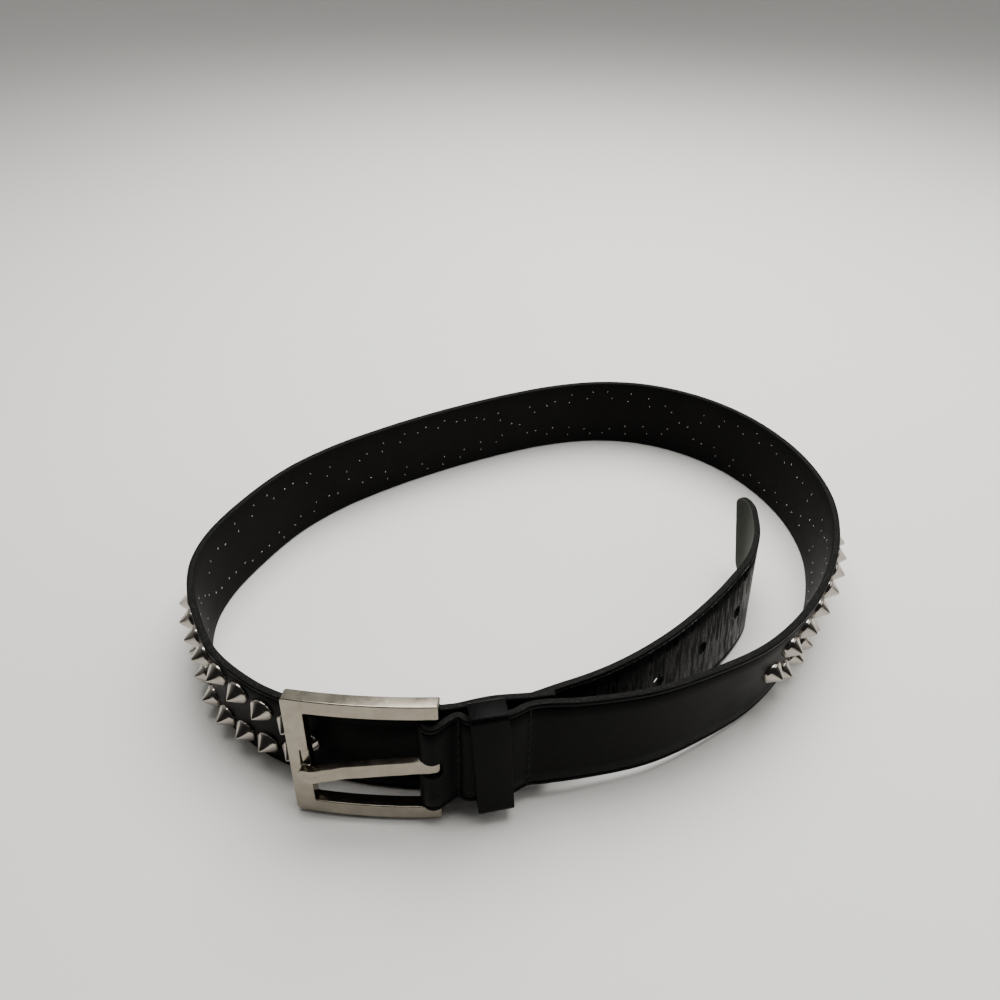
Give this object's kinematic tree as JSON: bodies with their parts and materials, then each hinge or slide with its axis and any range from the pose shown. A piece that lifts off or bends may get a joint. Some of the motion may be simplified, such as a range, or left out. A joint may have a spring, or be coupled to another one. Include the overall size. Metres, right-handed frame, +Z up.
{
  "type": "studded leather belt",
  "caption": "Leather belt laid in a loop on its edge, with cone studs in crossing wavy rows, a square prong buckle, a keeper and a punched free end.",
  "frame": {"origin": "on the floor under the middle of the belt's bounding box", "axes": "+Z up; +Y from the buckle side to the back of the loop; +X to the right of the buckle as seen from the front"},
  "size_m": [0.2854, 0.2308, 0.0521],
  "materials": {
    "strap_leather": "black, semi-matt, with nickel cone studs set in it",
    "keeper_leather": "black, semi-matt",
    "buckle_metal": "warm grey nickel, satin",
    "prong_metal": "warm grey nickel, satin"
  },
  "bodies": {
    "belt": {"studded_strap": "strap_leather", "keeper": "keeper_leather"},
    "frame": {"buckle_frame": "buckle_metal"},
    "prong": {"prong": "prong_metal"}
  },
  "joints": [
    {"name": "frame_swing", "type": "hinge", "parent": "belt", "child": "frame", "pos_m": [-0.03339, -0.10607, 0.02592], "axis": [0.0143, 0.216, 0.9763], "range_deg": [0, 45]},
    {"name": "prong_swing", "type": "hinge", "parent": "frame", "child": "prong", "pos_m": [-0.03339, -0.10607, 0.02592], "axis": [0.0143, 0.216, 0.9763], "range_deg": [0, 65]}
  ]
}
